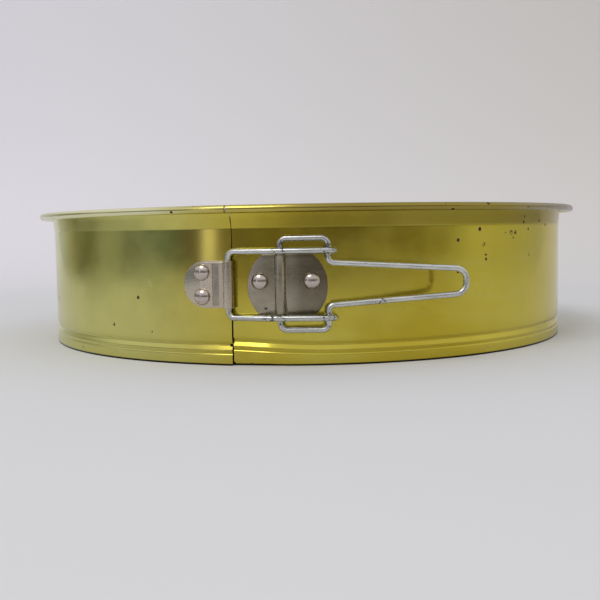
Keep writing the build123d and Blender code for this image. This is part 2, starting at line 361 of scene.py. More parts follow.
def make_grain():
    """Fine scratches drawn out along one direction, as a height and as a lighter or darker value."""
    tree, given, out = new_group(
        "grain",
        [("Vector", "Vector", None), ("Stretch", "Vector", (1, 1, 1)), ("Scale", "Float", 800.0)],
        [("Height", "Float"), ("Value", "Float")],
    )
    stretch = {0: given["Vector"], 1: given["Stretch"]}
    drawn = put(tree, "VectorMath", stretch, operation="MULTIPLY").outputs[0]
    fine = noise_at(tree, drawn, given["Scale"], 4.0, 0.65)
    broad = noise_at(tree, drawn, maths(tree, "MULTIPLY", given["Scale"], 0.18), 2.0)
    tree.links.new(fine, out["Height"])
    both = maths(tree, "ADD", maths(tree, "MULTIPLY", fine, 0.5), maths(tree, "MULTIPLY", broad, 0.5))
    tree.links.new(both, out["Value"])
    return tree


def make_wear():
    """Where a coat is rubbed through: past an edge position, broken up by noise."""
    tree, given, out = new_group(
        "wear",
        [
            ("Vector", "Vector", None),
            ("Position", "Float", 0.0),
            ("Start", "Float", 0.0),
            ("Full", "Float", 1.0),
            ("Break", "Float", 0.5),
            ("Scale", "Float", 300.0),
        ],
        [("Mask", "Float")],
    )
    broken = maths(tree, "SUBTRACT", noise_at(tree, given["Vector"], given["Scale"], 5.0, 0.65), 0.5)
    edge = ramp(tree, given["Position"], given["Start"], given["Full"])
    rubbed = maths(tree, "ADD", edge, maths(tree, "MULTIPLY", broken, given["Break"]))
    shown = maths(tree, "MULTIPLY", ramp(tree, rubbed, 0.42, 0.62), ramp(tree, edge, 0.0, 0.12))
    tree.links.new(shown, out["Mask"])
    return tree


def make_near():
    """A soft ball round a place, for a scuff or a chip that sits there."""
    tree, given, out = new_group(
        "near",
        [("Vector", "Vector", None), ("Place", "Vector", (0, 0, 0)), ("Reach", "Float", 0.005)],
        [("Mask", "Float")],
    )
    ends = {0: given["Vector"], 1: given["Place"]}
    away = put(tree, "VectorMath", ends, operation="DISTANCE").outputs["Value"]
    share = maths(tree, "DIVIDE", away, given["Reach"])
    tree.links.new(ramp(tree, share, 1.0, 0.6), out["Mask"])
    return tree


CHIPS, GRAIN, WEAR, NEAR = make_chips(), make_grain(), make_wear(), make_near()


def new_material(name):
    """A material with a Principled shader, and its Object coordinates."""
    material = bpy.data.materials.new(name)
    material.use_nodes = True
    tree = material.node_tree
    shader = tree.nodes["Principled BSDF"]
    coords = put(tree, "TexCoord").outputs["Object"]
    return material, tree, shader, coords


def feed(tree, shader, **sockets):
    for key, value in sockets.items():
        name = key.replace("_", " ")
        if isinstance(value, bpy.types.NodeSocket):
            tree.links.new(value, shader.inputs[name])
        else:
            shader.inputs[name].default_value = value


def bump(tree, height, distance, strength=1.0):
    return put(tree, "Bump", {"Height": height, "Distance": distance, "Strength": strength}).outputs[0]


# --- Materials ---


def axes(tree, coords):
    return put(tree, "SeparateXYZ", {0: coords}).outputs


def torn_spot(tree, coords, place, reach, torn):
    """A spot at a place, with the ragged edge that torn gives it."""
    near = use_group(tree, NEAR, {"Vector": coords, "Place": place, "Reach": reach})["Mask"]
    return product(tree, near, torn)


GOLD = (0.62, 0.52, 0.075, 1)
GOLD_DEEP = (0.54, 0.42, 0.035, 1)
GOLD_PALE = (0.62, 0.62, 0.235, 1)
SHADE_BLACK = (0.018, 0.014, 0.016, 1)
TIN = (0.62, 0.60, 0.57, 1)
RUST = (0.055, 0.022, 0.010, 1)


def at(angle, z):
    """A place on the outside of the wall."""
    beyond = LAP * (1 + cos(radians(angle))) if angle < SEAM else 0.0
    return tuple(plan(WALL_R + beyond, angle, z))


# Marks on the wall that show singly: plan angle, height and reach in millimetres.
CHIP_PLACES = [
    (46.3, 50.0, 1.3),
    (47.6, 50.2, 1.2),
    (47.0, 48.0, 0.7),
    (38.5, 45.5, 1.1),
    (52.6, 40.5, 1.0),
    (-34.3, 14.5, 0.9),
    (-24.6, 12.5, 0.5),
]
SCRAPES = [
    (-25.3, 34.0, 0.75),
    (-24.9, 32.6, 0.8),
    (-24.5, 31.3, 0.7),
    (-24.2, 28.0, 0.45),
    (-42.0, 17.0, 0.8),
]


def gold_body(tree, coords, x):
    """Cloudy gold, paler and greener on the left as a painted sheen, with faint streaks round the wall."""
    cloud = noise_at(tree, coords, 14.0, 3.0)
    colour = blend_colours(tree, ramp(tree, cloud, 0.35, 0.65), GOLD_DEEP, GOLD)
    # Painted sheen: the wall is painted paler and greener towards the left, where it reflects more light.
    left = product(tree, ramp(tree, x, 0.0, -0.07), 0.75)
    colour = blend_colours(tree, left, colour, GOLD_PALE)
    streak = use_group(tree, GRAIN, {"Vector": coords, "Stretch": (0.25, 0.25, 3.0), "Scale": 260.0})
    return blend_colours(tree, ramp(tree, streak["Value"], 0.4, 0.9, 0.0, 0.25), colour, GOLD_PALE)


def gold_worn(tree, coords, x, z, radius):
    """Where the tin shows: the rim's edge, most at the two sides, and the foot."""
    rim = {"Position": radius, "Start": RIM_R - 3.0 * MM, "Full": RIM_R + 1.2 * MM, "Break": 0.9}
    rim = use_group(tree, WEAR, {"Vector": coords, "Scale": 210.0, **rim})["Mask"]
    sides = ramp(tree, maths(tree, "ABSOLUTE", x), 0.08, 0.132, 0.1, 1.0)
    foot = {"Position": z, "Start": 1.3 * MM, "Full": -0.2 * MM, "Break": 0.8}
    foot = use_group(tree, WEAR, {"Vector": coords, "Scale": 260.0, **foot})["Mask"]
    return maths(tree, "MAXIMUM", product(tree, rim, sides), foot)


def gold_painted_light(tree, colour, x, y, z, radius):
    """Painted light: a pale painted highlight on the rim's left, and painted brown shade on neck and rim
    from the seam to the right.
    """
    # Painted highlight: the rim's left is painted pale.
    left_rim_highlight = ramp(tree, radius, WALL_R + 3 * MM, WALL_R + 5 * MM)
    left_rim_highlight = product(tree, left_rim_highlight, ramp(tree, x, -0.03, -0.06, 0.0, 0.8))
    colour = blend_colours(tree, left_rim_highlight, colour, (0.86, 0.83, 0.55, 1))
    # Painted shade: neck and rim are painted dark brown from the seam to the right, where they reflect less
    # light.
    neck = ramp(tree, z, NECK_Z - 1 * MM, NECK_Z + 1 * MM)
    within = ramp(tree, radius, WALL_R + 2.6 * MM, WALL_R + 1.4 * MM, 0.0, 0.55)
    neck = product(tree, neck, ramp(tree, x, -0.02, 0.02), within)
    rim = ramp(tree, radius, WALL_R + 3 * MM, WALL_R + 4 * MM)
    rim = product(tree, rim, ramp(tree, x, -0.015, 0.03, 0.0, 0.55))
    front = ramp(tree, y, 0.02, -0.03)
    right_shade = product(tree, maths(tree, "MAXIMUM", neck, rim), front)
    return blend_colours(tree, right_shade, colour, (0.12, 0.07, 0.01, 1))


def gold_painted_shade(tree, x, y, z, radius):
    """Painted black shade: a painted contact shadow under the foot, and painted shade on the tongue where
    the seam's gap shows it.
    """
    # Painted contact shadow: the lowest millimetre of the foot is painted black.
    foot = ramp(tree, z, 0.95 * MM, 0.55 * MM)
    # Painted shade: the tongue is painted black where it lies deep behind the seam's gap.
    gap = ramp(tree, x, SEAM_X - 0.10 * MM, SEAM_X - 0.14 * MM)
    gap = product(
        tree,
        gap,
        ramp(tree, x, SEAM_X - 1.6 * MM, SEAM_X - 1.4 * MM),
        ramp(tree, radius, WALL_R + 0.35 * MM, WALL_R + 0.25 * MM),
        ramp(tree, radius, WALL_R - 0.25 * MM, WALL_R - 0.15 * MM),
        ramp(tree, y, 0.0, -0.05),
    )
    return maths(tree, "MAXIMUM", foot, gap)


def gold_chips(tree, coords, x, z, radius):
    """Specks of rust: a few everywhere, many high on the right and on the rim, and some single ones."""
    density = product(tree, ramp(tree, z, 0.030, 0.058), ramp(tree, x, 0.035, 0.10), 0.22)
    on_rim = product(tree, ramp(tree, radius, WALL_R + 4 * MM, RIM_R), 0.10)
    density = maths(tree, "ADD", maths(tree, "ADD", density, on_rim), 0.006)
    chips = {"Vector": coords, "Scale": 330.0, "Size": 0.24, "Density": density}
    spots = use_group(tree, CHIPS, chips)["Mask"]
    torn = ramp(tree, noise_at(tree, coords, 900.0, 3.0, 0.6), 0.40, 0.52)
    for angle, height, reach in CHIP_PLACES:
        spot = torn_spot(tree, coords, at(angle, height * MM), reach * MM, torn)
        spots = maths(tree, "MAXIMUM", spots, spot)
    return spots


def gold_lacquer():
    """Thin gold lacquer over bright tinplate, worn and chipped, with a painted sheen, highlight and shade.
    """
    material, tree, shader, coords = new_material("gold_lacquer")
    x, y, z = axes(tree, coords)
    radius = maths(tree, "SQRT", maths(tree, "ADD", product(tree, x, x), product(tree, y, y)))
    worn = gold_worn(tree, coords, x, z, radius)
    spots = gold_chips(tree, coords, x, z, radius)
    colour = blend_colours(tree, worn, gold_body(tree, coords, x), TIN)
    # Painted highlight and painted shade on rim and neck.
    colour = gold_painted_light(tree, colour, x, y, z, radius)
    # Painted black shade under the foot and in the seam's gap.
    colour = blend_colours(tree, gold_painted_shade(tree, x, y, z, radius), colour, SHADE_BLACK)
    torn = ramp(tree, noise_at(tree, coords, 1300.0, 3.0, 0.6), 0.42, 0.55, 0.0, 0.7)
    for angle, height, reach in SCRAPES:
        scrape = torn_spot(tree, coords, at(angle, height * MM), reach * MM, torn)
        colour = blend_colours(tree, scrape, colour, (0.72, 0.76, 0.36, 1))
    colour = blend_colours(tree, spots, colour, RUST)

    haze = noise_at(tree, coords, 45.0, 5.0, 0.6)
    rough = ramp(tree, haze, 0.3, 0.75, 0.13, 0.24)
    rough = maths(tree, "ADD", rough, product(tree, spots, 0.5))
    rough = maths(tree, "ADD", rough, product(tree, worn, 0.12))
    wave = noise_at(tree, coords, 26.0, 1.0)
    normal = bump(tree, maths(tree, "ADD", wave, product(tree, spots, -0.12)), 0.25 * MM)
    metal = maths(tree, "SUBTRACT", 1.0, product(tree, spots, 0.85))
    feed(tree, shader, Base_Color=colour, Metallic=metal, Roughness=rough, Normal=normal)
    return material


POCK = (PIVOT.x - 5.9 * MM, PIVOT.y + 2.1 * MM, LATCH_Z - 9.3 * MM)


def panel_shade(tree, x, z, cloud):
    """Uneven painted shade on the floor of the hinge plate's sunk panel."""
    middle = plan(WALL_R, degrees(PANEL_ARC / WALL_R)).x
    across = maths(tree, "ABSOLUTE", maths(tree, "SUBTRACT", x, middle))
    upward = maths(tree, "ABSOLUTE", maths(tree, "SUBTRACT", z, LATCH_Z))
    return product(
        tree,
        ramp(tree, across, PANEL_W / 2, PANEL_W / 2 - 0.25 * MM),
        ramp(tree, upward, HINGE_HALF_H - 0.95 * MM, HINGE_HALF_H - 1.2 * MM),
        ramp(tree, cloud, 0.3, 0.7, 0.35, 0.75),
    )


def nickel_plate():
    """Dull nickel over pressed steel, brushed: cleaner on the hinge plate, with painted shade right of the
    knuckle.
    """
    material, tree, shader, coords = new_material("nickel_plate")
    place = axes(tree, coords)
    x, z = place["X"], place["Z"]
    cloud = noise_at(tree, coords, 90.0, 4.0, 0.6)
    brushed = use_group(tree, GRAIN, {"Vector": coords, "Stretch": (0.5, 0.5, 2.0), "Scale": 700.0})
    value = brushed["Value"]
    colour = blend_colours(tree, ramp(tree, cloud, 0.3, 0.7), (0.33, 0.29, 0.215, 1), (0.43, 0.39, 0.31, 1))
    colour = blend_colours(tree, ramp(tree, value, 0.55, 0.8, 0.0, 0.35), colour, (0.60, 0.57, 0.49, 1))
    colour = blend_colours(tree, ramp(tree, x, -0.016, -0.022, 0.0, 0.7), colour, (0.69, 0.61, 0.49, 1))
    # Painted shade: the lever plate's wing right of the knuckle is painted darker, where it faces away from
    # the light.
    colour = blend_colours(tree, ramp(tree, x, 0.002, 0.009, 0.0, 0.65), colour, (0.13, 0.105, 0.065, 1))
    # Painted shade in the hinge plate's sunk panel.
    colour = blend_colours(tree, panel_shade(tree, x, z, cloud), colour, (0.13, 0.14, 0.10, 1))
    pits = use_group(tree, CHIPS, {"Vector": coords, "Scale": 520.0, "Size": 0.2, "Density": 0.02})["Mask"]
    torn = ramp(tree, noise_at(tree, coords, 2600.0, 2.0), 0.36, 0.5)
    pits = maths(tree, "MAXIMUM", pits, torn_spot(tree, coords, POCK, 0.75 * MM, torn))
    colour = blend_colours(tree, pits, colour, (0.03, 0.025, 0.02, 1))
    rough = ramp(tree, value, 0.2, 0.8, 0.20, 0.34)
    normal = bump(tree, maths(tree, "SUBTRACT", brushed["Height"], product(tree, pits, 2.0)), 0.006 * MM)
    feed(tree, shader, Base_Color=colour, Metallic=1.0, Roughness=rough, Normal=normal)
    return material


def rivet_steel():
    """Polished plating, with a little brown grime where a cloth doesn't reach."""
    material, tree, shader, coords = new_material("rivet_steel")
    grime = noise_at(tree, coords, 700.0, 4.0, 0.6)
    dirty = ramp(tree, grime, 0.55, 0.75, 0.0, 0.5)
    colour = blend_colours(tree, dirty, (0.58, 0.50, 0.455, 1), (0.27, 0.20, 0.15, 1))
    rough = ramp(tree, grime, 0.35, 0.8, 0.12, 0.34)
    normal = bump(tree, grime, 0.010 * MM)
    feed(tree, shader, Base_Color=colour, Metallic=1.0, Roughness=rough, Normal=normal)
    return material


# Where the wires rub: x and z from the lever's pivot, and reach, in millimetres.
SCUFFS = [
    (0.0, 13.5, 4.5),
    (-2.0, -13.0, 6.0),
    (18.5, 13.0, 4.0),
    (18.5, -13.0, 4.5),
    (38.0, -6.5, 6.0),
    (44.0, 6.5, 5.0),
    (60.0, -4.5, 4.0),
]
SCUFF_OUT = 1.5 * MM


def zinc_wire():
    """Zinc-plated wire: pale and drawn lengthwise, scuffed dark where the wires rub."""
    material, tree, shader, coords = new_material("zinc_wire")
    drawn = use_group(tree, GRAIN, {"Vector": coords, "Stretch": (0.3, 3.0, 3.0), "Scale": 420.0})
    value, height = drawn["Value"], drawn["Height"]
    colour = blend_colours(tree, ramp(tree, value, 0.35, 0.7), (0.48, 0.49, 0.47, 1), (0.78, 0.80, 0.78, 1))
    rubbed = product(tree, ramp(tree, height, 0.60, 0.68), 0.35)
    torn = ramp(tree, noise_at(tree, coords, 900.0, 4.0, 0.65), 0.52, 0.60)
    for x, z, reach in SCUFFS:
        place = (PIVOT.x + x * MM, PIVOT.y - SCUFF_OUT, LATCH_Z + z * MM)
        scuff = torn_spot(tree, coords, place, reach * MM, torn)
        rubbed = maths(tree, "MAXIMUM", rubbed, scuff)
    colour = blend_colours(tree, rubbed, colour, (0.10, 0.09, 0.075, 1))
    rough = maths(tree, "ADD", ramp(tree, value, 0.3, 0.8, 0.22, 0.36), product(tree, rubbed, 0.25))
    normal = bump(tree, height, 0.006 * MM)
    feed(tree, shader, Base_Color=colour, Metallic=1.0, Roughness=rough, Normal=normal)
    return material


def rim_steel():
    """Plain drawn wire, seen only where the rolled rim ends."""
    material, tree, shader, coords = new_material("rim_steel")
    drawn = noise_at(tree, coords, 500.0, 4.0, 0.6)
    colour = blend_colours(tree, drawn, (0.30, 0.28, 0.25, 1), (0.52, 0.50, 0.47, 1))
    feed(tree, shader, Base_Color=colour, Metallic=1.0, Roughness=ramp(tree, drawn, 0.3, 0.7, 0.3, 0.5))
    return material


LACQUER = gold_lacquer()
NICKEL = nickel_plate()
RIVET = rivet_steel()
ZINC = zinc_wire()
RIM_STEEL = rim_steel()


# --- Ring ---


# How far the foot's crease, ridge and groove stand out of the wall and lie above the skirt.
CREASE_OUT = -0.35 * MM
CREASE_RISE = 0.55 * MM
RIDGE_OUT = 0.25 * MM
RIDGE_RISE = 1.8 * MM
GROOVE_OUT = -0.9 * MM
GROOVE_LEAD = 1.35 * MM
FOOT_BENDS = [0.6 * MM, 0.6 * MM, 0.8 * MM, 0.8 * MM, 0.8 * MM]
NECK_LEAN = 0.75 * MM
NECK_BENDS = [6.0 * MM, 1.5 * MM]
LONGEST_RUN = 4 * MM
RIM_CORE_R = 1.15 * MM


def wall_path(radius, rolled):
    """The outside of the wall from the table up: skirt, ridge, groove, wall, and the neck under the rim."""
    points = [
        (radius, 0, 0),
        (radius, 0, SKIRT_H),
        (radius + CREASE_OUT, 0, SKIRT_H + CREASE_RISE),
        (radius + RIDGE_OUT, 0, SKIRT_H + RIDGE_RISE),
        (radius + GROOVE_OUT, 0, GROOVE_Z),
        (radius, 0, GROOVE_Z + GROOVE_LEAD),
        (radius, 0, NECK_Z),
    ]
    if not rolled:
        return rounded(points, FOOT_BENDS)
    roll_x = radius + RIM_REACH - ROLL_R
    under = PAN_H - SHEET
    points += [(radius + NECK_LEAN, 0, under), (roll_x, 0, under)]
    path = rounded(points, FOOT_BENDS + NECK_BENDS)
    return path + arc((roll_x, 0, PAN_H - ROLL_R), ROLL_R - SHEET, 75, -270, 22)


def subdivided(path, longest):
    """Adds points along long runs, so that a warp can bend them."""
    out = [path[0]]
    for a, b in zip(path, path[1:]):
        pieces = max(1, ceil((b - a).length / longest))
        out += [a.lerp(b, i / pieces) for i in range(1, pieces + 1)]
    return out


def hem_outline(radius):
    """The bottom edge, folded up flat inside the wall."""
    inside, outside = radius - 2 * SHEET, radius - 0.9 * SHEET
    return rounded(
        [(outside, 0, HEM_H), (inside, 0, HEM_H), (inside, 0, 0.05 * MM), (outside, 0, 0.05 * MM)],
        [0.1 * MM, 0.1 * MM],
    )


def step_down(value, start, end):
    """1 before start, 0 after end, and smooth between."""
    t = min(1.0, max(0.0, (value - start) / (end - start)))
    return 1 - t * t * (3 - 2 * t)


NECK_SHIFT = 0.6 * MM
FOOT_LIFT = 1.6 * MM
FOOT_FLARE = 0.20 * MM
FOOT_SHIFT = 0.5 * MM


def warp_ring(bm, side):
    """What handling has done near the seam: the right end's foot sits higher, and the neck leans over."""
    for v in bm.verts:
        if v.co.y > 0:
            continue
        angle = degrees(atan2(v.co.x, -v.co.y))
        arc_mm = abs(radians(angle - SEAM)) * WALL_R / MM
        along = Vector((cos(radians(angle)), sin(radians(angle)), 0))
        out = plan(1, angle)
        low = step_down(v.co.z, 6 * MM, 48 * MM)
        lean = (1 - step_down(v.co.z, NECK_Z - 1 * MM, PAN_H - 4 * MM)) * step_down(arc_mm, 0, 14)
        v.co -= along * lean * NECK_SHIFT
        if side == "right":
            lift = step_down(arc_mm, -4, 38) if angle > SEAM else 1.0
            v.co.z += FOOT_LIFT * lift * low * (1 if angle > SEAM - 1 else 0.9)
        else:
            v.co += out * FOOT_FLARE * low * step_down(arc_mm, 0, 12)
            v.co -= along * FOOT_SHIFT * step_down(v.co.z, 22 * MM, 50 * MM) * step_down(arc_mm, 0, 7)


def right_band():
    bm = bmesh.new()
    path = subdivided(wall_path(WALL_R, True), LONGEST_RUN)
    lathe(bm, sheet_outline(path, SHEET), SEAM + SEAM_GAP, JOIN)
    lathe(bm, hem_outline(WALL_R), SEAM + SEAM_GAP, JOIN)
    tongue = subdivided(wall_path(WALL_R, False), LONGEST_RUN)
    lathe(bm, sheet_outline(tongue, SHEET), TONGUE, SEAM + SEAM_GAP + 0.01, step=0.6)
    warp_ring(bm, "right")
    return finish_mesh(bm, "band_right", LACQUER, 50)


def left_band():
    """The left half, eased from the right half's circle at the back to its own, larger one."""
    bm = bmesh.new()
    path = subdivided(wall_path(WALL_R + LAP, True), LONGEST_RUN)
    lathe(bm, sheet_outline(path, SHEET), JOIN, 360 + SEAM - SEAM_GAP, -LAP)
    lathe(bm, hem_outline(WALL_R + LAP), JOIN, 360 + TONGUE - SEAM_GAP, -LAP)
    for v in bm.verts:
        angle = degrees(atan2(v.co.x, -v.co.y)) % 360
        extra = LAP * (1 + cos(radians(angle))) * step_down(angle, JOIN, JOIN + JOIN_EASE)
        v.co -= plan(extra, angle)
    warp_ring(bm, "left")
    return finish_mesh(bm, "band_left", LACQUER, 50)


def rim_core(name, start, end, radius, centre_y):
    """The wire in the rolled rim."""
    bm = bmesh.new()
    circle = arc((radius + RIM_REACH - ROLL_R, 0, PAN_H - ROLL_R), RIM_CORE_R, 0, 345, 23)
    lathe(bm, circle, start, end, centre_y, step=1.5)
    return finish_mesh(bm, name, RIM_STEEL, 50)


def bend_with_ring(piece):
    """Bakes the piece's placement into its mesh."""
    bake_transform(piece)


# --- Base ---


BORDER_W = 12 * MM
FLOOR_DROP = 0.8 * MM
RIB_OUTER = 78 * MM
RIB_INNER = 74 * MM
RIB_SLOPE = 0.8 * MM
RIB_H = 0.4 * MM
BASE_SHEET = 0.6 * MM
BASE_BENDS = [1.5 * MM, 1.0 * MM, 1.0 * MM, 0.6 * MM, 0.6 * MM, 0.6 * MM, 0.6 * MM]


def base():
    """A pressed lid upside down: a raised border with its edge turned down, and a floor with one rib."""
    top = BASE_H
    floor = top - FLOOR_DROP
    border = BASE_R - BORDER_W
    profile = [
        (BASE_R, 0, 0),
        (BASE_R, 0, top),
        (border, 0, top),
        (border - FLOOR_DROP, 0, floor),
        (RIB_OUTER, 0, floor),
        (RIB_OUTER - RIB_SLOPE, 0, floor + RIB_H),
        (RIB_INNER + RIB_SLOPE, 0, floor + RIB_H),
        (RIB_INNER, 0, floor),
        (0, 0, floor),
    ]
    over = rounded(profile, BASE_BENDS)
    under = sheet_outline(over, BASE_SHEET)[len(over):]
    under[0].x = 0
    bm = bmesh.new()
    turned(bm, over[::-1] + under[::-1], 240)
    return finish_mesh(bm, "base", LACQUER, 50)


# --- Latch plates ---


def disc_outline(radius, half_h, drop, left, right, steps=44):
    """The part of a disc with flat top and bottom that lies between two x, anticlockwise."""
    def clipped(x):
        return min(half_h, (max(0.0, radius**2 - (x - LEVER_PLATE_MID) ** 2)) ** 0.5)

    xs = [left + (right - left) * i / steps for i in range(steps + 1)]
    lower = [(x, -clipped(x) - drop) for x in xs]
    upper = [(x, clipped(x) - drop) for x in reversed(xs)]
    loop = lower + upper
    return [p for p, q in zip(loop, loop[1:] + loop[:1]) if hypot(p[0] - q[0], p[1] - q[1]) > 1e-7]


PLATE = 0.8 * MM
LAY = 0.02 * MM  # gap between a plate and the wall it lies on
WIRE_GAP = 0.08 * MM
KNUCKLE_R = WIRE_R + WIRE_GAP + PLATE
KNUCKLE_HALF_H = 11.3 * MM
KNUCKLE_FOOT_BEND = 0.45 * MM
LEVER_PLATE_MID = 2.6 * MM
LEVER_PLATE_R = 15.6 * MM
LEVER_PLATE_HALF_H = 12.25 * MM
LEVER_PLATE_DROP = 0.8 * MM


def lever_plate():
    """One sheet: two wings of a disc, and an upright knuckle bent up between them round the lever's wire."""
    bm = bmesh.new()
    left_end, right_end = LEVER_PLATE_MID - LEVER_PLATE_R, LEVER_PLATE_MID + LEVER_PLATE_R
    for left, right in ((left_end, -KNUCKLE_R + 0.1 * MM), (KNUCKLE_R - 0.1 * MM, right_end)):
        wing = disc_outline(LEVER_PLATE_R, LEVER_PLATE_HALF_H, LEVER_PLATE_DROP, left, right)
        slab(bm, wing, LAY, LAY + PLATE, 0.18 * MM)
    strips(bm, 1.5 * MM)
    wrap(bm, WALL_R)
    level = LAY + PLATE
    crest = PIVOT_R - WALL_R + KNUCKLE_R
    over = rounded(
        [
            (-KNUCKLE_R - 0.5 * MM, 0, level),
            (-KNUCKLE_R, 0, level),
            (-KNUCKLE_R, 0, crest),
            (KNUCKLE_R, 0, crest),
            (KNUCKLE_R, 0, level),
            (KNUCKLE_R + 0.5 * MM, 0, level),
        ],
        [KNUCKLE_FOOT_BEND, KNUCKLE_R - 0.01 * MM, KNUCKLE_R - 0.01 * MM, KNUCKLE_FOOT_BEND],
    )
    outline = sheet_outline(over[::-1], PLATE)
    wings = set(bm.verts)
    low = LATCH_Z - KNUCKLE_HALF_H
    edges = loop_of(bm, [Vector((p.x, -WALL_R - p.z, low)) for p in outline])[1]
    face = bmesh.ops.contextual_create(bm, geom=edges)["faces"][0]
    raised = bmesh.ops.extrude_face_region(bm, geom=[face], use_keep_orig=True)["geom"]
    tops = [g for g in raised if isinstance(g, bmesh.types.BMVert)]
    bmesh.ops.translate(bm, verts=tops, vec=(0, 0, 2 * KNUCKLE_HALF_H))
    knuckle = [e for e in bm.edges if not set(e.verts) & wings]
    rims = [e for e in knuckle if len({round(v.co.z, 6) for v in e.verts}) == 1]
    bmesh.ops.bevel(bm, geom=rims, offset=0.1 * MM, segments=2, profile=0.5, affect="EDGES", material=-1)
    return finish_mesh(bm, "lever_plate_pressed", NICKEL, 40)


HINGE_ARC = atan2(HINGE.x, -HINGE.y) * WALL_R
HINGE_END = -39.4 * MM
LAYER = 0.7 * MM
LAYER_STEP = 0.45 * MM  # how far the upper layer's edge is set in
PANEL_EDGE = 0.9 * MM
PANEL_DEPTH = 0.45 * MM
BARREL_R = WIRE_R + 0.85 * MM


def nose_outline(step):
    """A strip with a fully round left end, drawn from the barrel's side round to it again."""
    half = HINGE_HALF_H - step
    centre = HINGE_END + HINGE_HALF_H
    round_end = [(centre - half * sin(radians(a)), half * cos(radians(a))) for a in range(0, 181, 6)]
    return [(HINGE_ARC, half)] + round_end + [(HINGE_ARC, -half)]


def hinge_plate():
    """A strip folded back on itself: two layers, a sunk panel, and a barrel round the bail's upright leg."""
    bm = bmesh.new()
    slab(bm, nose_outline(0), LAY, LAY + LAYER, 0.12 * MM)
    slab(bm, nose_outline(LAYER_STEP), LAY + LAYER, LAY + 2 * LAYER, 0.2 * MM)
    left, right = PANEL_ARC - PANEL_W / 2, PANEL_ARC + PANEL_W / 2
    sink_panel(bm, left, right, HINGE_HALF_H - PANEL_EDGE, LAY + 2 * LAYER)
    strips(bm, 1.4 * MM)
    wrap(bm, WALL_R + LAP, -LAP)
    barrel(bm)
    return finish_mesh(bm, "hinge_plate_folded", NICKEL, 40)


def sink_panel(bm, left, right, half, level):
    """Presses a rectangle down into the upper layer."""
    cuts = [
        ((left, 0, 0), (1, 0, 0)),
        ((right, 0, 0), (1, 0, 0)),
        ((0, half, 0), (0, 1, 0)),
        ((0, -half, 0), (0, 1, 0)),
    ]
    for co, no in cuts:
        geom = list(bm.verts) + list(bm.edges) + list(bm.faces)
        bmesh.ops.bisect_plane(bm, geom=geom, plane_co=co, plane_no=no, dist=0.001 * MM)
    bm.normal_update()
    inside = []
    for face in bm.faces:
        mid = face.calc_center_median()
        if left < mid.x < right and abs(mid.y) < half and abs(mid.z - level) < 0.01 * MM:
            inside.append(face)
    bmesh.ops.inset_region(bm, faces=inside, thickness=0.1 * MM, depth=0)
    sunk = list({v for f in inside for v in f.verts})
    bmesh.ops.translate(bm, verts=sunk, vec=(0, 0, -PANEL_DEPTH))


def barrel(bm):
    """The rolled barrel, open at both ends on the wire."""
    half = HINGE_HALF_H
    bore = WIRE_R + WIRE_GAP
    section = [(bore, 0, -half), (BARREL_R, 0, -half), (BARREL_R, 0, half), (bore, 0, half)]
    ring = rounded(section, [0.2 * MM, 0.2 * MM])
    turned(bm, ring + [ring[0]], 40, Matrix.Translation((HINGE.x, HINGE.y, LATCH_Z)))


RIVET_R = 3.35 * MM
RIVET_H = 2.1 * MM
SHANK_R = 1.6 * MM
TAIL_R = 2.4 * MM
TAIL_H = 0.65 * MM
LEVER_GRIP = 1.3 * MM
HINGE_GRIP = 1.9 * MM
DOME_POWER = 1.08  # 1 would be half an ellipse; more is sharper


def rivet(name, node):
    """A domed rivet, pressed home, with a low tail inside."""
    low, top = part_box(node)
    middle = (low + top) / 2
    angle = degrees(atan2(middle.x, -middle.y))
    outer = max(hypot(v.co.x, v.co.y) for v in frame["nodes"][node].data.vertices)
    under = outer - RIVET_H
    turns = [radians(7.5 * i) for i in range(13)]
    crown = [Vector((RIVET_R * sin(a) ** DOME_POWER, 0, RIVET_H * cos(a))) for a in turns]
    shoulder = [Vector((RIVET_R - 0.12 * MM, 0, -0.02 * MM)), Vector((SHANK_R, 0, -0.02 * MM))]
    grip = LEVER_GRIP if "lever" in node else HINGE_GRIP
    end = -grip - TAIL_H
    tail = rounded(
        [(SHANK_R, 0, -grip), (TAIL_R, 0, -grip), (TAIL_R, 0, end), (0, 0, end)],
        [0.05 * MM, 0.35 * MM],
    )
    path = crown + shoulder + tail
    bm = bmesh.new()
    turned(bm, path, 40, against_wall(under, angle, middle.z))
    return finish_mesh(bm, name, RIVET, 35)


# --- Wire parts ---


def from_pivot(x, out, z):
    return Vector((PIVOT.x + x, PIVOT.y - out, LATCH_Z + z))


HANDLE_TURN = radians(9.5)
HANDLE_START = 8.2 * MM  # half heights where the handle leaves the crank, and at its tip
HANDLE_TIP = 4.75 * MM
LEVER_BENDS = [2.7 * MM, 2.7 * MM, 2.2 * MM, 4.4 * MM]


def lever():
    """The lever's wire, from the knuckle out to both cranks and on to the handle's tip."""
    reach_x = LEVER_TOP.x - PIVOT.x - WIRE_R - CRANK
    half_h = (LEVER_TOP.z - LEVER_LOW.z) / 2 - WIRE_R

    def handle(x, z):
        return from_pivot(CRANK + x, -x * tan(HANDLE_TURN), z)

    one_side = [
        from_pivot(0, 0, 0.2 * MM),
        from_pivot(0, 0, half_h),
        from_pivot(CRANK, 0, half_h),
        handle(0, HANDLE_START),
        handle(reach_x, HANDLE_TIP),
    ]
    mirrored = [Vector((p.x, p.y, 2 * LATCH_Z - p.z)) for p in reversed(one_side)]
    path = rounded(one_side + mirrored, LEVER_BENDS + LEVER_BENDS[::-1], 9)
    return wire("lever_wire", [path], ZINC)


EYE_R = 2.5 * MM
EYE_SWEEP = 215
EYE_STEPS = 24
UPRIGHT_HALF_H = HINGE_HALF_H + 0.15 * MM
BAIL_BENDS = [2.5 * MM, 6 * MM]


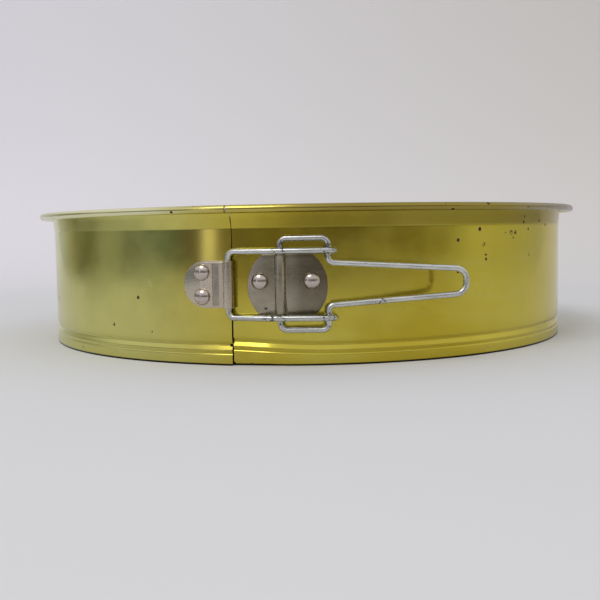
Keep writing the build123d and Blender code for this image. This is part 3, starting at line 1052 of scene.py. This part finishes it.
def bail_leg(side):
    """One leg of the bail: out of the barrel, along the wall, and round the crank in an eye."""
    z = side * ((BAIL_TOP.z - BAIL_LOW.z) / 2 - WIRE_R)
    start = side * UPRIGHT_HALF_H
    hinge_out = PIVOT.y - HINGE.y
    leg = rounded(
        [
            from_pivot(HINGE.x, hinge_out, start),
            from_pivot(HINGE.x, hinge_out, z),
            from_pivot(-4 * MM, EYE_R, z),
            from_pivot(CRANK, EYE_R, z),
        ],
        BAIL_BENDS,
        9,
    )
    turns = [radians(90 - EYE_SWEEP * i / EYE_STEPS) for i in range(1, EYE_STEPS + 1)]
    eye = [from_pivot(CRANK + EYE_R * cos(a), EYE_R * sin(a), z) for a in turns]
    return leg + eye


def bail_pin():
    """The bail's upright, inside the barrel."""
    top, bottom = (Vector((HINGE.x, HINGE.y, LATCH_Z + z)) for z in (UPRIGHT_HALF_H, -UPRIGHT_HALF_H))
    return wire("bail_upright", [[bottom, top]], ZINC, end_round=0.02 * MM)


def build_pan():
    """Makes every piece, and says what it rides on and stands for."""
    right, left = right_band(), left_band()
    bend_with_ring(right)
    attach(left, "ring_left")
    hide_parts("band_right_half")
    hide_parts("band_left_half")
    core_right = rim_core("rim_core_right", SEAM + SEAM_GAP, JOIN, WALL_R, 0)
    core_left = rim_core("rim_core_left", JOIN, 360 + SEAM - SEAM_GAP, WALL_R + LAP, -LAP)
    bend_with_ring(core_right)
    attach(core_left, "ring_left")
    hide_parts("rim_wire_right")
    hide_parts("rim_wire_left")
    rows = [
        (base(), "base", "base_plate", "gold_lacquer"),
        (lever_plate(), "ring_right", "lever_plate", "nickel_plate"),
        (hinge_plate(), "ring_left", "hinge_plate", "nickel_plate"),
    ]
    for name, body, node in (
        ("lever_rivet_dome_left", "ring_right", "lever_rivet_left"),
        ("lever_rivet_dome_right", "ring_right", "lever_rivet_right"),
        ("hinge_rivet_dome_upper", "ring_left", "hinge_rivet_upper"),
        ("hinge_rivet_dome_lower", "ring_left", "hinge_rivet_lower"),
    ):
        rows.append((rivet(name, node), body, node, "rivet_steel"))
    rows += [
        (lever(), "lever", "lever", "zinc_wire"),
        (wire("bail_wire", [bail_leg(1), bail_leg(-1)], ZINC), "bail", "bail", "zinc_wire"),
        (bail_pin(), "ring_left", "bail_pin", "zinc_wire"),
    ]
    for piece, body, node, slot in rows:
        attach(piece, body)
        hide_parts(node)


# --- Camera, table and light ---

CAMERA_TURN = 4.5
CAMERA_AWAY = 448 * MM
CAMERA_Z = 52.4 * MM
CAMERA_YAW = radians(CAMERA_TURN + 0.52)
CAMERA_PITCH = radians(-4.8)
CAMERA_ROLL = radians(1.0)
FOCAL = 826.0 / 600.0  # focal length as a share of the picture's side


def camera():
    data = bpy.data.cameras.new("camera")
    data.sensor_width = 36.0
    data.lens = FOCAL * data.sensor_width
    data.clip_start, data.clip_end = 0.01, 20
    piece = bpy.data.objects.new("camera", data)
    bpy.context.scene.collection.objects.link(piece)
    yaw, pitch, roll = CAMERA_YAW, CAMERA_PITCH, CAMERA_ROLL
    ahead = Vector((-sin(yaw) * cos(pitch), cos(yaw) * cos(pitch), sin(pitch)))
    right = ahead.cross(UP).normalized()
    up = right.cross(ahead)
    right, up = right * cos(roll) - up * sin(roll), up * cos(roll) + right * sin(roll)
    rotation = Matrix((right, up, -ahead)).transposed()
    piece.matrix_world = Matrix.Translation(plan(CAMERA_AWAY, CAMERA_TURN, CAMERA_Z)) @ rotation.to_4x4()
    bpy.context.scene.camera = piece


PAPER_NEAR = -0.56
PAPER_FAR = 0.75
PAPER_LEFT = 0.68
PAPER_W = 1.5
PAPER_H = 1.6
PAPER_LEAN = 0.25
PAPER_SWEEP = 0.45


def paper():
    """A sheet of pale paper that lies under the pan, reaches just past the camera, and sweeps up behind."""
    bm = bmesh.new()
    corners = [(0, PAPER_NEAR, 0), (0, PAPER_FAR, 0), (0, PAPER_FAR + PAPER_LEAN, PAPER_H)]
    path = rounded(corners, [PAPER_SWEEP], 5)
    verts = [bm.verts.new(p - Vector((PAPER_LEFT, 0, 0))) for p in path]
    edges = [bm.edges.new(pair) for pair in zip(verts, verts[1:])]
    across = bmesh.ops.extrude_edge_only(bm, edges=edges)["geom"]
    moved = [g for g in across if isinstance(g, bmesh.types.BMVert)]
    bmesh.ops.translate(bm, verts=moved, vec=(PAPER_W, 0, 0))
    material, tree, shader, coords = new_material("paper")
    fibre = noise_at(tree, coords, 6.0, 2.0)
    colour = blend_colours(tree, fibre, (0.725, 0.725, 0.735, 1), (0.75, 0.75, 0.76, 1))
    place = axes(tree, coords)
    # Painted light: the sweep behind is painted brightest and coolest on the left, dimmer and warmer on the
    # right.
    upper = ramp(tree, place["Y"], 0.1, 0.7)
    rightward = ramp(tree, place["X"], -0.62, 0.62)
    backdrop = blend_colours(tree, rightward, (0.97, 0.95, 1.0, 1), (0.83, 0.80, 0.76, 1))
    colour = blend_colours(tree, upper, colour, backdrop)
    feed(tree, shader, Base_Color=colour, Roughness=0.9, Specular_IOR_Level=0.1)
    mesh_piece = finish_mesh(bm, "paper", material, 60)
    if mesh_piece.data.polygons[0].normal.z < 0:
        mesh_piece.data.flip_normals()


# Brightness of the room low down, by plan angle: degrees, then red, green and blue.
ROOM = [
    (-180, 0.60, 0.60, 0.62),
    (-135, 0.60, 0.62, 0.62),
    (-123, 0.42, 0.40, 0.26),
    (-116, 0.20, 0.20, 0.12),
    (-104, 0.19, 0.19, 0.11),
    (-96, 0.42, 0.43, 0.38),
    (-88, 0.40, 0.42, 0.38),
    (-82, 0.20, 0.21, 0.20),
    (-68, 0.15, 0.22, 0.26),
    (-58, 0.15, 0.20, 0.22),
    (-50, 0.16, 0.14, 0.14),
    (-44.5, 0.22, 0.18, 0.18),
    (-42.8, 1.45, 1.40, 1.75),
    (-39.2, 1.35, 1.30, 1.60),
    (-37.0, 0.36, 0.33, 0.36),
    (-30, 0.24, 0.22, 0.18),
    (20, 0.20, 0.17, 0.14),
    (48, 0.30, 0.27, 0.16),
    (60, 0.38, 0.36, 0.26),
    (74, 0.72, 0.70, 0.50),
    (95, 0.66, 0.64, 0.50),
    (120, 0.56, 0.56, 0.52),
    (180, 0.60, 0.60, 0.62),
]


def room():
    """A dim room round the table, with windows low on the left and right, under a bright soft ceiling."""
    world = bpy.data.worlds.new("room")
    bpy.context.scene.world = world
    world.use_nodes = True
    tree = world.node_tree
    shader = tree.nodes["Background"]
    ahead = axes(tree, put(tree, "TexCoord").outputs["Generated"])
    back = maths(tree, "MULTIPLY", ahead["Y"], -1.0)
    turn = maths(tree, "ARCTAN2", ahead["X"], back)
    around = maths(tree, "ADD", maths(tree, "DIVIDE", turn, 2 * pi), 0.5)
    scale = put(tree, "ValToRGB", {0: around})
    stops = scale.color_ramp.elements
    while len(stops) < len(ROOM):
        stops.new(0.5)
    for stop, (angle, *rgb) in zip(stops, ROOM):
        stop.position = (angle + CAMERA_TURN + 180) / 360 if abs(angle) < 180 else (angle + 180) / 360
        stop.color = (*rgb, 1)
    height = ramp(tree, ahead["Z"], 0.10, 0.48)
    colour = blend_colours(tree, height, scale.outputs[0], (0.90, 0.90, 0.93, 1))
    below = ramp(tree, ahead["Z"], -0.01, -0.12)
    colour = blend_colours(tree, below, colour, (0.12, 0.10, 0.08, 1))
    ground = ramp(tree, ahead["Z"], -0.10, -0.16)
    colour = blend_colours(tree, ground, colour, (0.74, 0.74, 0.75, 1))
    feed(tree, shader, Color=colour, Strength=0.82)


def softbox(name, place, aim, size, power):
    """A square lamp that faces a point."""
    data = bpy.data.lights.new(name, "AREA")
    data.shape = "SQUARE"
    data.size = size
    data.energy = power
    light = bpy.data.objects.new(name, data)
    bpy.context.scene.collection.objects.link(light)
    light.location = place
    light.rotation_euler = (Vector(aim) - Vector(place)).to_track_quat("-Z", "Y").to_euler()


camera()
build_pan()
paper()
room()
softbox("overhead", (-0.38, -0.75, 1.0), (0, 0, 0), 0.55, 3.4)
bpy.context.scene.view_settings.view_transform = "Standard"
